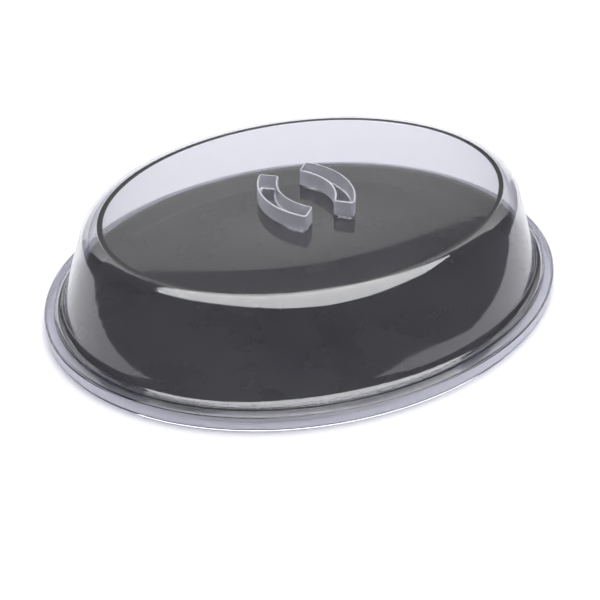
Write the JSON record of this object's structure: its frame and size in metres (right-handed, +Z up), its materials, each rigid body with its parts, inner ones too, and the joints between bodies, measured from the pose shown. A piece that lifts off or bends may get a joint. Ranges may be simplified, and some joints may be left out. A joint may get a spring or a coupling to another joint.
{
  "type": "humidity dome tray",
  "caption": "Shallow oval growing tray under a clear domed humidity cover with a dished crown, a stepped rim and two curved hollow finger grips; the cover lifts off.",
  "frame": {"origin": "middle of the tray's flat underside", "axes": "+X along the oval's long way, towards right_grip; +Z up, the way the cover lifts off"},
  "size_m": [0.46, 0.375, 0.0934],
  "materials": {
    "black_plastic": "injection-moulded, satin black",
    "clear_plastic": "injection-moulded, polished, clear with a faint violet cast"
  },
  "bodies": {
    "tray": {"tray": "black_plastic"},
    "cover": {"dome": "clear_plastic", "left_grip": "clear_plastic", "right_grip": "clear_plastic"}
  },
  "joints": [
    {"name": "cover_lift", "type": "slide", "parent": "tray", "child": "cover", "axis": [0, 0, 1], "range_m": [0, 0.15]}
  ]
}
